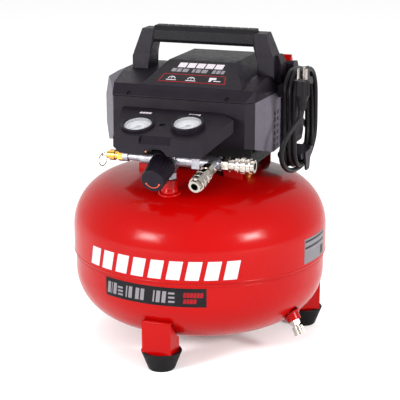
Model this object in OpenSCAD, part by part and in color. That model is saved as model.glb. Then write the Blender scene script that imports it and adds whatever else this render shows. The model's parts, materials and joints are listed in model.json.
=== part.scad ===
// Portable pancake air compressor. Millimetres, +Z up, front towards -Y.
// The origin is on the floor, straight under the tank's axis.

/* [Tank] */
// Outside radius of the tank's upper half
tank_r = 200.5; // [196:0.5:204]
// Sheet thickness of the tank
tank_wall = 2.5; // [2:0.1:3]
// Height of the middle of the tank
tank_mid_z = 151; // [150:1:153]
// Half the height of the straight side wall
tank_side = 34; // [32:1:36]
// Radius of the knuckle between side wall and crown
knuckle_r = 80; // [76:1:84]
// Radius of the shallow crown
crown_r = 720; // [680:10:760]
// Height at which the two tank halves meet
seam_z = 147; // [144:1:150]

/* [Feet] */
// Distance of each foot from the tank's axis
foot_ring_r = 173; // [170:0.5:173]
// Height of a rubber foot
foot_h = 30; // [29:1:31]
// Radius of a rubber foot at the top
foot_top_r = 31; // [30:0.5:31]
// Radius of a rubber foot on the floor
foot_low_r = 20.5; // [18:0.5:22]
// Width of a leg bracket
leg_w = 46; // [42:1:48]

/* [Air fittings] */
// Height of the manifold's centre line
manifold_z = 317; // [316:0.5:318]
// Distance of the manifold in front of the tank's axis
manifold_y = 140; // [139:0.5:141]
// Length of a quick coupler
coupler_len = 48; // [47:1:49]
// Radius of a coupler's socket bore
socket_r = 5.6; // [5.4:0.1:5.8]
// Travel of a coupler's release sleeve
sleeve_travel = 5; // [3:0.5:5]
// Radius of the regulator knob's front end
knob_r = 17.5; // [17:0.5:18.5]
// Length of the regulator knob
knob_len = 42; // [38:0.5:42]

/* [Gauges] */
// Radius of a gauge's bezel
bezel_r = 25; // [24.5:0.25:25.5]
// Slope of the gauge panel, in degrees
panel_tilt = 16; // [15:0.5:17]

/* [Pump] */
// Height of the crankshaft
crank_z = 334; // [333.5:0.5:335]
// Throw of the crank pin, which is half the stroke
crank_throw = 9; // [7:0.5:9]
// Bore radius of the cylinder
bore_r = 25; // [24:0.5:25]
// Pitch radius of the flywheel pulley
flywheel_r = 38; // [36:0.5:38]
// Pitch radius of the motor pulley
motor_pulley_r = 11; // [10:0.5:12]

/* [Shroud] */
// Wall thickness of the plastic covers
cover_wall = 3; // [2.5:0.1:3.5]
// Width of the line between two covers
cover_gap = 0.8; // [0.4:0.1:1.2]
// Height at which the hood meets the lower covers
hood_z = 399; // [397:0.5:400]
// Height of the underside of the handle's grip
grip_low_z = 465; // [464:0.5:467]

/* [Hidden] */
$fn = 48;

red = [0.80, 0.06, 0.05];
black = [0.09, 0.09, 0.10];
grey = [0.40, 0.40, 0.42];
nickel = [0.72, 0.71, 0.69];
brass = [0.80, 0.62, 0.28];
alloy = [0.66, 0.67, 0.69];

shell_lap = 14;             // overlap of the two tank halves
lower_r = tank_r - tank_wall - 0.1;
leg_angles = [-90, 30, 150];
leg_out = foot_ring_r + 22;    // outer face of a leg bracket
drain_angle = -20;          // drain's place round the tank
drain_spot = 38;            // drain's place down the knuckle
drain_tilt = 60;            // drain's slope below level
ear_x = 70;                 // pump mounting ears, right and left of the axis
ear_front = -34;
ear_back = 94;
ear_top = 283;
plate_z = 291;              // underside of the pump's base plate
plate_t = 3;
check_pos = [80, -5];
cyl_x = 15;                 // cylinder's axis
pulley_x = -60;             // outer face of both pulleys
pulley_w = 15;
motor_y = 68;
motor_z = 345;
head_z = 408;               // top of the cylinder sleeve
coupler_tilt = 19;
coupler_turn = 9;
tee_x = 73;
front_port = 18;            // reach of the tee's two outlets from its centre
right_port = 13;
knob_x = -3;
knob_tilt = 20;
knob_taper = 2.5;
relief_x = -70;
relief_eye = 35;            // reach of the pull stem's eye
pull_ring_r = 9;
gauge_l = [-43, -151];
gauge_r = [33, -145];
panel_screw = [-7, -145];
panel_back = [-100, 382];   // a point of the gauge panel, as Y and Z
switch_x = 116;
switch_y = 80;
hood_screws = [[-80, -94.8, 403.2], [76, -94.8, 403.2]];
cord_d = 8;
// Route of the cord from its gland to the wound turns, and from there to the plug.
lead_path = [[95, 130, 345], [95, 138, 345], [97, 149, 343], [104, 159, 338], [115, 164, 330],
    [127, 161, 320], [136, 151, 311], [140, 137, 304], [141, 121, 299], [141, 105, 295]];
tail_path = [[157, 112, 322], [156, 104, 302], [154, 88, 286], [153, 70, 279], [152, 45, 276],
    [150, 20, 276], [149, -4, 280], [148, -26, 288], [147, -43, 300], [147, -52, 315],
    [150, -54, 330], [155, -49, 343], [161, -41, 354], [167, -32, 364], [171, -27, 372],
    [171, -26, 380]];
plug_pos = [171, -26, 380];

// ---------- shared helpers ----------
function arc(cx, cy, r, a0, a1, n) =
    [for (i = [0:n]) let (a = a0 + (a1 - a0) * i / n) [cx + r * cos(a), cy + r * sin(a)]];
function reversed(p) = [for (i = [len(p) - 1:-1:0]) p[i]];
function unit(v) = v / norm(v);
// An anticlockwise convex outline, moved inwards by t.
function inset(p, t) = [for (i = [0:len(p) - 1])
    let (a = p[(i + len(p) - 1) % len(p)], b = p[i], c = p[(i + 1) % len(p)],
        u = unit(b - a), v = unit(c - b), n = [-u.y, u.x], m = [-v.y, v.x])
    b + (n + m) * t / (1 + n * m)];
// Half a domed head: knuckle first, then crown, up to the axis.
function head_outline(r, k, c) =
    let (tangent = acos((r - k) / (c - k)), cy = -sqrt(pow(c - k, 2) - pow(r - k, 2)),
        crown = arc(0, cy, c, tangent, 90, 6))
    concat(arc(r - k, 0, k, 0, tangent, 12), [for (i = [1:6]) crown[i]]);

module extrude_x(x0, x1) translate([x0, 0, 0]) rotate([90, 0, 90]) linear_extrude(x1 - x0) children();
module extrude_y(y0, y1) translate([0, y1, 0]) rotate([90, 0, 0]) linear_extrude(y1 - y0) children();
module block(low, high) translate(low) cube(high - low);
module along_x(x0, x1, r) translate([x0, 0, 0]) rotate([0, 90, 0]) cylinder(r = r, h = x1 - x0);
module ring(r_out, r_in, h) difference() {
    cylinder(r = r_out, h = h);
    translate([0, 0, -1]) cylinder(r = r_in, h = h + 2);
}
// One tube swept along a route of points, with flat ends.
module sweep_tube(path, d, sides) {
    last = len(path) - 1;
    dirs = [for (i = [0:last]) unit(path[min(i + 1, last)] - path[max(i - 1, 0)])];
    points = [for (i = [0:last]) let (t = dirs[i],
            u = unit(cross(t, abs(t.x) < 0.9 ? [1, 0, 0] : [0, 0, 1])), v = cross(t, u))
        for (j = [0:sides - 1]) let (a = 360 * j / sides)
            path[i] + (u * cos(a) + v * sin(a)) * d / 2];
    walls = [for (i = [0:last - 1]) for (j = [0:sides - 1]) let (k = (j + 1) % sides)
        [i * sides + j, (i + 1) * sides + j, (i + 1) * sides + k, i * sides + k]];
    ends = [[for (j = [0:sides - 1]) j],
        [for (j = [sides - 1:-1:0]) last * sides + j]];
    polyhedron(points, concat(walls, ends));
}

// ---------- tank ----------
module tank_solid(r, k, c) {
    top = [for (p = head_outline(r, k, c)) [p.x, p.y + tank_mid_z + tank_side]];
    low = [for (p = head_outline(r, k, c)) [p.x, tank_mid_z - tank_side - p.y]];
    rotate_extrude($fn = 120) polygon(concat(reversed(top), low));
}
module tank_outside(grow = 0) tank_solid(tank_r + grow, knuckle_r + grow, crown_r + grow);
module bung_holes() {
    translate([0, -134, 200]) cylinder(r = 13.1, h = 90);
    translate([check_pos.x, check_pos.y, 200]) cylinder(r = 11.1, h = 90);
}
module at_drain() {
    rotate([0, 0, drain_angle])
        translate([tank_r - knuckle_r + knuckle_r * cos(drain_spot), 0,
            tank_mid_z - tank_side - knuckle_r * sin(drain_spot)])
        rotate([0, 90 + drain_tilt, 0]) children();
}
module tank_upper_shell() color(red) difference() {
    tank_outside();
    tank_solid(tank_r - tank_wall, knuckle_r - tank_wall, crown_r - tank_wall);
    block([-300, -300, -50], [300, 300, seam_z]);
    bung_holes();
}
module tank_lower_shell() color(red) difference() {
    drop = tank_r - lower_r;
    tank_solid(lower_r, knuckle_r - drop, crown_r - drop);
    tank_solid(lower_r - tank_wall, knuckle_r - drop - tank_wall, crown_r - drop - tank_wall);
    block([-300, -300, seam_z + shell_lap], [300, 300, 400]);
    at_drain() translate([0, 0, -20]) cylinder(r = 11.1, h = 40);
}

// ---------- legs ----------
module leg_place() for (a = leg_angles) rotate([0, 0, a]) children();
module leg_brackets() color(red) leg_place() difference() {
    union() {
        block([leg_out - 3, -leg_w / 2, foot_h + 0.4], [leg_out, leg_w / 2, 79]);
        for (s = [-1, 1]) translate([0, s * (leg_w / 2 - 1.5) - 1.5, 0]) rotate([90, 0, 0])
            mirror([0, 0, 1]) linear_extrude(3)
                polygon([[leg_out - 36, foot_h + 0.4], [leg_out - 1, foot_h + 0.4], [leg_out - 1, 77],
                    [leg_out - 36, 60]]);
        block([leg_out - 3, -17, foot_h - 5], [leg_out, 17, 41]);
        intersection() {
            block([leg_out - 45, -30, foot_h - 5], [leg_out, 30, foot_h - 2]);
            translate([foot_ring_r, 0, 0]) cylinder(r = 28, h = 60);
        }
        for (s = [-1, 1]) translate([0, s * 15.5 - 1.5, 0]) rotate([90, 0, 0])
            mirror([0, 0, 1]) linear_extrude(3)
                polygon([[leg_out - 27, foot_h - 2], [leg_out - 1, foot_h - 2], [leg_out - 1, 50],
                    [leg_out - 27, 50]]);
    }
    tank_outside(0.1);
    translate([foot_ring_r, 0, 0]) cylinder(r = 4.2, h = 60);
}
module rubber_feet() color(black) leg_place() translate([foot_ring_r, 0, 0]) difference() {
    rotate_extrude() polygon([[4.2, 6], [9, 6], [9, 0], [foot_low_r - 1.5, 0], [foot_low_r, 1.5],
        [foot_top_r, foot_h - 1.5], [foot_top_r - 1, foot_h], [28.2, foot_h],
        [28.2, foot_h - 5], [4.2, foot_h - 5]]);
    translate([18.8, -17.2, foot_h - 5]) cube([3.4, 34.4, 10]);
}
module hex_bolt(shank_r, shank_len, head_r, head_h) {
    translate([0, 0, -shank_len]) cylinder(r = shank_r, h = shank_len + 0.5);
    cylinder(r = head_r, h = head_h, $fn = 6);
}
module frame_bolts() color(alloy) {
    leg_place() translate([foot_ring_r, 0, foot_h - 2]) hex_bolt(4.1, 18, 7.4, 5);
    for (x = [-ear_x, ear_x]) for (y = [ear_front, ear_back])
        translate([x, y, plate_z + plate_t]) hex_bolt(3.1, 20, 5.8, 4);
}

// ---------- air path on the tank ----------
module outlet_bung() color(red) translate([0, -134, 256]) difference() {
    union() {
        cylinder(r = 13, h = 12);
        translate([0, 0, 12]) cylinder(r1 = 13, r2 = 11.5, h = 4);
        cylinder(r = 11.5, h = 29);
        translate([0, 0, 29]) cylinder(r1 = 11.5, r2 = 10.5, h = 1);
    }
    translate([0, 0, -1]) cylinder(r = 8, h = 40);
}
module drain_bung() color(red) at_drain() translate([0, 0, -6]) difference() {
    cylinder(r = 11, h = 15);
    translate([0, 0, -1]) cylinder(r = 5, h = 20);
}
module drain_valve_body() color(nickel) at_drain() difference() {
    union() {
        translate([0, 0, -4]) cylinder(r = 4.9, h = 14);
        translate([0, 0, 9]) cylinder(r = 8, h = 7, $fn = 6);
        translate([0, 0, 16]) cylinder(r = 5, h = 12);
    }
    translate([0, 0, -5]) cylinder(r = 2.2, h = 40);
}
module drain_valve_knob() color(nickel) at_drain() translate([0, 0, 19]) difference() {
    linear_extrude(13) difference() {
        circle(r = 8.5);
        for (i = [0:11]) rotate(i * 30) translate([9.1, 0]) circle(r = 1.3);
    }
    translate([0, 0, -1]) cylinder(r = 5.06, h = 10.5);
    cylinder(r = 2.2, h = 20);
}
module saddle_brackets() color(red) {
    for (x = [-ear_x, ear_x]) saddle_bracket(x, ear_front, -1);
    for (x = [-ear_x, ear_x]) saddle_bracket(x, ear_back, 1);
}
module saddle_bracket(x, y, out) difference() {
    union() {
        block([x - 15, y - 13, ear_top - 3], [x + 15, y + 13, ear_top]);
        translate([x - 15, y + out * 11.5 - 1.5, 255]) cube([30, 3, ear_top - 255]);
    }
    tank_outside(0.1);
    translate([x, y, 200]) cylinder(r = 3.2, h = 100);
}
module isolators() color(black) for (x = [-ear_x, ear_x]) for (y = [ear_front, ear_back])
    translate([x, y, ear_top]) rotate_extrude()
        polygon([[3.2, 0], [11, 0], [9, 2.5], [9, 5.5], [11, plate_z - ear_top],
            [3.2, plate_z - ear_top]]);
module pump_base_plate() color(black) difference() {
    union() {
        block([-90, -50, plate_z], [100, 107, plate_z + plate_t]);
        block([-90, -50, plate_z], [100, -48, 322]);
        for (x = [-90, 98]) block([x, -50, plate_z], [x + 2, 107, 312]);
    }
    for (x = [-ear_x, ear_x]) for (y = [ear_front, ear_back])
        translate([x, y, 200]) cylinder(r = 3.2, h = 100);
    translate([check_pos.x, check_pos.y, 200]) cylinder(r = 16, h = 100);
    block([pulley_x - 2, -22, 280], [pulley_x + pulley_w + 3, 22, 300]);
}
module check_valve_body() color(brass) translate([check_pos.x, check_pos.y, 262]) difference() {
    union() {
        cylinder(r = 11, h = 16);
        translate([0, 0, 16]) cylinder(r = 14.5, h = 14, $fn = 6);
        translate([0, 0, 30]) cylinder(r = 8, h = 12);
    }
    translate([0, 0, -1]) cylinder(r = 7, h = 25);
    cylinder(r = 4, h = 60);
}
module check_valve_poppet() color(black) translate([check_pos.x, check_pos.y, 262]) {
    translate([0, 0, 19.5]) cylinder(r = 6.7, h = 4);
    translate([0, 0, 8]) cylinder(r = 2, h = 12);
}
module rod(a, b, r) {
    d = b - a;
    translate(a) rotate([0, acos(d.z / norm(d)), atan2(d.y, d.x)]) cylinder(r = r, h = norm(d));
}
module outlet_tube() color([0.75, 0.45, 0.28])
    sweep_tube([[44.2, -20, 421], [54, -20, 421], [63, -18, 419.5], [71, -13, 415], [77, -8, 408],
        [80, -5, 399], [80, -5, 350], [80, -5, 304.2]], 9, 12);

// ---------- manifold, regulator and safety valve ----------
module manifold_bar() color(alloy) translate([0, -manifold_y, manifold_z]) difference() {
    union() {
        along_x(relief_x, tee_x - 11, 6);
        along_x(relief_x, relief_x + 8, 8);
        along_x(-42, tee_x - 11, 9);
        along_x(-25, 15, 12.5);
        translate([40, -9, -9]) cube([12, 18, 18]);
    }
    along_x(relief_x - 1, tee_x, 4);
}
module knob_axis() translate([knob_x, -manifold_y, manifold_z])
    rotate([90 + knob_tilt, 0, 0]) children();
module regulator_body() color(alloy) difference() {
    union() {
        knob_axis() cylinder(r = 14, h = 34);
        translate([0, -134, 272]) cylinder(r = 7.9, h = 36);
        translate([0, -134, 287]) cylinder(r = 10.5, h = 9, $fn = 6);
    }
    translate([0, -manifold_y, manifold_z]) along_x(-25.1, 15.1, 12.6);
}
module regulator_knob() color(black) knob_axis() translate([0, 0, 18]) difference() {
    union() {
        cylinder(r1 = knob_r + knob_taper, r2 = knob_r, h = knob_len - 1, $fn = 96);
        translate([0, 0, knob_len - 1]) cylinder(r1 = knob_r, r2 = knob_r - 1, h = 1, $fn = 96);
    }
    for (i = [0:23]) rotate(i * 15) translate([knob_r + knob_taper + 0.7, 0, -0.1])
        rotate([0, -atan(knob_taper / knob_len), 0]) cylinder(r = 1.5, h = knob_len - 5, $fn = 16);
    translate([0, 0, -1]) cylinder(r = 15, h = 21);
}
module safety_axis() translate([relief_x, -manifold_y, manifold_z]) rotate([0, -90, 0]) children();
module safety_valve_body() color(brass) safety_axis() difference() {
    union() {
        cylinder(r = 8.5, h = 8, $fn = 6);
        translate([0, 0, 8]) cylinder(r = 6.5, h = 6);
        translate([0, 0, 14]) cylinder(r = 8, h = 8);
        translate([0, 0, 22]) cylinder(r = 5.5, h = 5);
    }
    translate([0, 0, 4]) cylinder(r = 2.06, h = 30);
}
module safety_valve_stem() color(nickel) safety_axis() difference() {
    union() {
        translate([0, 0, 6]) cylinder(r = 2, h = relief_eye - 8);
        translate([0, 1.3, relief_eye]) rotate([90, 0, 0]) cylinder(r = 3.4, h = 2.6);
    }
    translate([0, 5, relief_eye]) rotate([90, 0, 0]) cylinder(r = 1.7, h = 10);
}
module safety_pull_ring() color(nickel)
    translate([relief_x - relief_eye, -manifold_y, manifold_z - pull_ring_r]) rotate([0, 90, -18])
        rotate_extrude() translate([pull_ring_r, 0]) circle(r = 0.8, $fn = 16);

// ---------- quick couplers ----------
module tee_fitting() color(alloy) translate([tee_x, -manifold_y, manifold_z]) difference() {
    union() {
        rotate([0, 90, 0]) translate([0, 0, -11]) cylinder(r = 9.5, h = 21);
        rotate([0, 90, 0]) cylinder(r = 7, h = right_port);
        rotate([0, 90, 0]) translate([0, 0, 6]) cylinder(r = 10.5, h = 3);
        rotate([90 + coupler_tilt, 0, -coupler_turn]) cylinder(r = 9, h = front_port);
    }
    rotate([0, 90, 0]) translate([0, 0, -15]) cylinder(r = 4, h = 40);
    rotate([90 + coupler_tilt, 0, -coupler_turn]) cylinder(r = 4, h = 24);
}
module front_coupler_axis() translate([tee_x, -manifold_y, manifold_z])
    rotate([90 + coupler_tilt, 0, -coupler_turn]) translate([0, 0, front_port]) children();
module right_coupler_axis() translate([tee_x + right_port, -manifold_y, manifold_z])
    rotate([0, 90, 0]) children();
module coupler_body() difference() {
    union() {
        cylinder(r = 11.4, h = 10, $fn = 6);
        translate([0, 0, 10]) cylinder(r = 9, h = 4);
        translate([0, 0, 14]) cylinder(r = 9.4, h = coupler_len - 14);
    }
    translate([0, 0, coupler_len - 26]) cylinder(r = socket_r, h = 30);
    translate([0, 0, -1]) cylinder(r = 3.5, h = coupler_len);
}
module coupler_sleeve() difference() {
    rotate_extrude() polygon([[9.46, 19.5], [11, 19.5], [11.8, 20.5], [11.8, 24], [10.8, 25], [10.8, 28],
        [11.9, 29], [11.9, 34], [10.9, 35], [10.9, 37], [11.9, 38], [11.9, 41.5], [11, 42.5],
        [9.46, 42.5]]);
    for (i = [0:17]) rotate([0, 0, i * 20]) translate([12.3, 0, 28]) cylinder(r = 0.8, h = 7, $fn = 16);
}
module coupler_body_front() color(nickel) front_coupler_axis() coupler_body();
module coupler_sleeve_front() color(nickel) front_coupler_axis() coupler_sleeve();
module coupler_body_right() color(nickel) right_coupler_axis() coupler_body();
module coupler_sleeve_right() color(nickel) right_coupler_axis() coupler_sleeve();

// ---------- gauges ----------
function panel_height(y) = panel_back.y + (y - panel_back.x) * tan(panel_tilt);
module at_gauge(g) translate([g.x, g.y, panel_height(g.y)]) rotate([panel_tilt, 0, 0]) children();
module gauge_case(proud) rotate_extrude() polygon([[0, -24], [23, -24], [23, 0], [bezel_r, 0],
    [bezel_r, proud - 1], [bezel_r - 1, proud], [21.5, proud], [20.5, proud - 4],
    [20.5, proud - 8], [0, proud - 8]]);
module gauge_case_left() color(black) at_gauge(gauge_l) gauge_hub_cut(4) gauge_case(4);
module gauge_case_right() color(black) at_gauge(gauge_r) gauge_hub_cut(8) gauge_case(8);
module gauge_hub_cut(proud) difference() {
    children();
    translate([0, 0, proud - 14]) cylinder(r = 1.7, h = 10);
}
module gauge_dial(proud) translate([0, 0, proud - 8]) ring(20.4, 1.7, 0.8);
module gauge_dials() color("white") {
    at_gauge(gauge_l) gauge_dial(4);
    at_gauge(gauge_r) gauge_dial(8);
}
module gauge_needle(proud) translate([0, 0, proud - 6.5]) rotate([0, 0, 135]) {
    translate([0, 0, -6]) cylinder(r = 1.2, h = 6.8);
    cylinder(r = 3, h = 0.8);
    linear_extrude(0.6) polygon([[-1, -5], [1, -5], [0.35, 15.5], [-0.35, 15.5]]);
}
module gauge_needle_left() color(black) at_gauge(gauge_l) gauge_needle(4);
module gauge_needle_right() color(black) at_gauge(gauge_r) gauge_needle(8);
module gauge_lenses() color([0.85, 0.9, 0.95, 0.35]) {
    at_gauge(gauge_l) translate([0, 0, 0.4]) cylinder(r = 20.4, h = 1.6);
    at_gauge(gauge_r) translate([0, 0, 4.4]) cylinder(r = 20.4, h = 1.6);
}
module gauge_tubes() color(alloy) for (g = [gauge_l, gauge_r])
    rod([g.x, g.y + 6.7, panel_height(g.y) - 23.2],
        [g.x * 0.8, -manifold_y, manifold_z + 8.8], 3.5);

// ---------- plastic covers ----------
plan = [[-106, -97], [104, -97], [116, -84], [124, 50], [124, 104], [104, 126], [-112, 126],
    [-150, 92], [-152, -16]];
front_view = [[-120, 296], [112, 296], [124, 312], [124, 396], [110, 424], [-128, 424],
    [-141, 402], [-152, 384], [-152, 340]];
side_view = [[-97, 331], [30, 299], [126, 296], [126, 396], [104, 421], [70, 424],
    [-20, 423], [-84, 416], [-97, 400.5]];
raised_side = [[116, 408], [88, 446], [-26, 446], [-85, 416.5], [-90, 408]];
raised_front = [[-70, 404], [98, 404], [94, 419], [64, 447], [-40, 447], [-62, 418]];
module cover_form(t, down) intersection() {
    translate([0, 0, 200]) linear_extrude(400) polygon(inset(plan, t));
    extrude_y(-300, 300) polygon(inset(front_view, t));
    union() {
        extrude_x(-300, 300) polygon(inset(side_view, t));
        if (down) block([-300, -93, 250], [300, 122, 340]);
    }
}
module raised_form(t) intersection() {
    extrude_x(-300, 300) polygon(inset(raised_side, t));
    extrude_y(-300, 300) polygon(inset(raised_front, t));
}
module hollow_cover() difference() {
    cover_form(0, false);
    cover_form(cover_wall, false);
    translate([0, 0, -20]) cover_form(cover_wall, true);
}
module post() {
    hull() {
        block([82, 13, 464], [101, 43, 486]);
        block([88, 11, 446], [115, 50, 448]);
    }
    hull() {
        block([88, 11, 446], [115, 50, 448]);
        block([91, 9, 410], [117, 54, 421]);
    }
    hull() {
        block([100, 27, 450], [118, 50, 452]);
        block([100, 25, 410], [123, 55, 440]);
    }
}
module hood() color(black) difference() {
    union() {
        difference() {
            cover_form(0, false);
            cover_form(cover_wall, false);
            block([-300, -300, 200], [300, 300, hood_z]);
            left_zone(cover_gap);
        }
        difference() {
            raised_form(0);
            raised_form(cover_wall);
            cover_form(cover_wall, false);
        }
        difference() {
            union() {
                post();
                mirror([1, 0, 0]) post();
            }
            cover_form(cover_wall, false);
        }
        block([-99, 16, 468], [99, 40, 485]);
    }
    block([switch_x - 17, switch_y - 17, 390], [160, switch_y + 17, 460]);
    intersection() {
        raised_form(cover_wall);
        block([-200, -200, 400], [200, 200, 440]);
    }
    for (p = hood_screws) translate(p) rotate([50, 0, 0]) cylinder(r = 3.6, h = 16, center = true);
}
// The left end, where the side cover wraps over to the top.
module left_zone(grow) translate([grow, 0, 250]) linear_extrude(200)
    polygon([[-300, -98], [-106, -98], [-129, 20], [-129, 300], [-300, 300]]);
module handle_grip() color(black) difference() {
    extrude_x(-82, 82) polygon([[16, grip_low_z], [40, grip_low_z], [43.5, grip_low_z + 5],
        [43.5, 484], [38, 491], [18, 491], [12.5, 484], [12.5, grip_low_z + 5]]);
    block([-101, 16, 468], [101, 40, 485]);
    for (x = [-66:12:66]) translate([x - 0.8, 10, 490.3]) cube([1.6, 40, 10]);
}
// Areas that divide the lower covers.
module front_area() block([-104, -300, 200], [300, -84, hood_z - cover_gap]);
module side_area(x0, x1) block([x0, -300, 200], [x1, 300, hood_z - cover_gap]);
module console_form(t) intersection() {
    translate([0, 0, 300]) linear_extrude(120)
        polygon(inset([[-67, -188], [70, -187], [93, -116], [60, -92], [-88, -90], [-88, -104]], t));
    extrude_x(-200, 200) polygon(inset([[-188, 333], [-90, 331], [-90, panel_height(-90)],
        [-188, panel_height(-188)]], t));
    extrude_y(-300, 0) polygon(inset([[-54, 330], [64, 330], [95, 361], [95, 420], [-90, 420],
        [-90, 363]], t));
}
module front_console() color(black) difference() {
    union() {
        intersection() {
            hollow_cover();
            front_area();
        }
        difference() {
            console_form(0);
            console_form(cover_wall);
            translate([0, 0, -8]) console_form(cover_wall);
            translate([0, 6, -4]) console_form(cover_wall);
            block([-52, -184, 320], [60, -100, 345]);
            cover_form(cover_wall, false);
        }
        intersection() {
            console_form(0);
            block([-31, -187, 342], [25, -176, 372]);
        }
        extrude_x(-98, 98) polygon([[-94.5, 388], [-91, 388], [-91, 400.5], [-92.4, 400.5],
            [-92.4, 394], [-94.5, 394]]);
    }
    block([-62, -96, 326], [-54, -90, 334]);
    for (g = [gauge_l, gauge_r]) at_gauge(g) translate([0, 0, -6]) cylinder(r = 23.2, h = 12);
    translate([knob_x, -180, 322]) rotate([90, 0, 0]) cylinder(r = 22, h = 40, center = true);
    extrude_x(-27, 21) polygon([[-190, 346], [-178, 359.6], [-178, 370], [-190, 370]]);
    at_gauge(panel_screw) cylinder(r = 4.6, h = 20, center = true);
    for (p = hood_screws) translate(p) rotate([50, 0, 0]) cylinder(r = 3.9, h = 16, center = true);
}
module left_shell() color(grey) difference() {
    intersection() {
        hollow_cover();
        union() {
            side_area(-300, -cover_gap / 2);
            left_zone(0);
        }
    }
    block([-104 - cover_gap, -300, 200], [300, -84 + cover_gap, 500]);
    for (i = [0:5]) translate([-98 + 15 * i, 115, 324]) cube([7, 20, 50]);
}
module right_shell() color(grey) difference() {
    intersection() {
        hollow_cover();
        side_area(cover_gap / 2, 300);
    }
    block([-300, -300, 200], [300, -84 + cover_gap, 500]);
    motor_axis() along_x(100, 140, 38);
    for (k = [0:5]) for (y = [-1, 12]) translate([110, y, 312 + 10.5 * k]) cube([30, 7, 6]);
    for (i = [0:4]) translate([10 + 15 * i, 115, 324]) cube([7, 20, 50]);
    translate([95, 110, 345]) rotate([-90, 0, 0]) cylinder(r = 7.1, h = 30);
}
module end_cover() color(black) difference() {
    intersection() {
        motor_axis() along_x(120, 134, 62);
        block([100, 27, 304.8], [150, 124, 387]);
    }
    intersection() {
        motor_axis() along_x(110, 131, 59);
        block([100, 30, 308], [150, 121, 384]);
    }
    for (y = [33:8:113]) translate([126, y, 314]) cube([20, 4, 60]);
    block([100, -50, 280], [124.4, 200, 420]);
}
module cord_hooks() color(black) {
    block([124.4, 4, 392], [134.2, 60, 410]);
    extrude_x(134, 162) polygon([[2, 410], [12, 422], [38, 422], [68, 415], [74, 407],
        [70, 403], [62, 406], [38, 408], [14, 408], [6, 404]]);
    extrude_x(162, 165) polygon([[12, 410], [14, 434], [18, 438], [34, 438], [38, 434], [40, 410]]);
    extrude_x(124.4, 162) polygon([[14, 294], [74, 294], [80, 300], [80, 304], [10, 304], [8, 300]]);
    extrude_x(162, 165) polygon([[31, 276], [34, 273], [48, 273], [51, 276], [58, 304], [24, 304]]);
}
module shroud_screws() color(black) {
    for (p = hood_screws) translate(p) rotate([50, 0, 0]) translate([0, 0, -6]) cylinder(r = 3.4, h = 4);
    at_gauge(panel_screw) translate([0, 0, -4]) cylinder(r = 4.4, h = 2);
}
module switch_housing() color(black) translate([switch_x, switch_y, 0]) difference() {
    extrude_x(-16, 16) polygon([[-16, 400], [16, 400], [16, 426], [9, 436], [-12, 438], [-16, 434]]);
    block([-9, -9, 424], [9, 9, 450]);
    block([-13, -13, 390], [13, 13, 421]);
}
module power_switch_lever() color(red) translate([switch_x, switch_y, 0]) {
    block([-8.4, -6, 428], [8.4, 6, 440]);
    block([-8.4, -3, 440], [8.4, 3, 446]);
    translate([0, 0, 430]) along_x(-8.7, 8.7, 2.4);
}

// ---------- motor, belt and pump ----------
module crank_axis() translate([0, 0, crank_z]) children();
module motor_axis() translate([0, motor_y, motor_z]) children();
module motor_housing() color(alloy) motor_axis() difference() {
    union() {
        along_x(-30, 60, 33);
        for (s = [-1, 1]) block([-24, s * 18 - 5, plate_z + plate_t - motor_z], [42, s * 18 + 5, -26]);
    }
    along_x(-27, 57, 28);
    along_x(-40, 70, 9);
}
module armature_shaft() color(nickel) motor_axis() {
    along_x(-62, 96, 5);
    along_x(-12, 36, 24);
    along_x(42, 52, 12);
}
module cooling_fan() color(black) motor_axis() {
    difference() {
        along_x(70, 92, 14);
        along_x(60, 100, 5.02);
    }
    for (i = [0:8]) rotate([i * 40, 0, 0]) translate([72, -1.2, 13]) cube([18, 2.4, 27]);
}
module drive_pulley() color(alloy) motor_axis() difference() {
    union() {
        along_x(pulley_x, pulley_x + pulley_w, motor_pulley_r);
        along_x(pulley_x, pulley_x + 1.5, motor_pulley_r + 4);
        along_x(pulley_x + pulley_w - 1.5, pulley_x + pulley_w, motor_pulley_r + 4);
    }
    along_x(-90, 0, 5.02);
}
module bearings() color(nickel) {
    for (x = [-40, -13]) crank_axis() translate([x, 0, 0]) rotate([0, 90, 0]) ring(15, 8.05, 9);
    for (x = [-30, 57]) motor_axis() translate([x, 0, 0]) rotate([0, 90, 0]) ring(8.95, 5.05, 3);
}
// Outline round two pulleys: r1 at the origin and r2 at distance d along +X.
module belt_outline(r1, r2, d) {
    a = acos((r1 - r2) / d);
    circle(r = r1, $fn = 64);
    translate([d, 0]) circle(r = r2, $fn = 64);
    polygon([[r1 * cos(a), r1 * sin(a)], [r1 * cos(a), -r1 * sin(a)],
        [d + r2 * cos(a), -r2 * sin(a)], [d + r2 * cos(a), r2 * sin(a)]]);
}
module drive_belt() color(black) {
    span = norm([motor_y, motor_z - crank_z]);
    lift = atan2(motor_z - crank_z, motor_y);
    crank_axis() extrude_x(pulley_x + 2, pulley_x + pulley_w - 2) rotate(lift) difference() {
        belt_outline(flywheel_r + 3, motor_pulley_r + 3, span);
        belt_outline(flywheel_r + 0.3, motor_pulley_r + 0.3, span);
    }
}
module flywheel() color(alloy) crank_axis() {
    difference() {
        along_x(pulley_x, pulley_x + pulley_w, flywheel_r);
        for (i = [0:4]) rotate([i * 72, 0, 0]) translate([0, 0, 23]) along_x(-80, -30, 8);
    }
    along_x(pulley_x - 4, 1, 8);
    along_x(0, 8, 17);
    translate([0, -crank_throw, 0]) along_x(7, 22, 6);
}
module crankcase() color(alloy) difference() {
    union() {
        block([-41, -20, plate_z + plate_t], [-4, 20, 356]);
        block([-41, -16, 355], [-4, 16, 376.5]);
        block([-41, -31, 374.5], [46, 31, 380]);
        block([32, -28, plate_z + plate_t], [38, 28, 375]);
    }
    crank_axis() along_x(-60, 0, 15.05);
    translate([cyl_x, 0, 360]) cylinder(r = bore_r + 0.5, h = 40);
}
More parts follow.
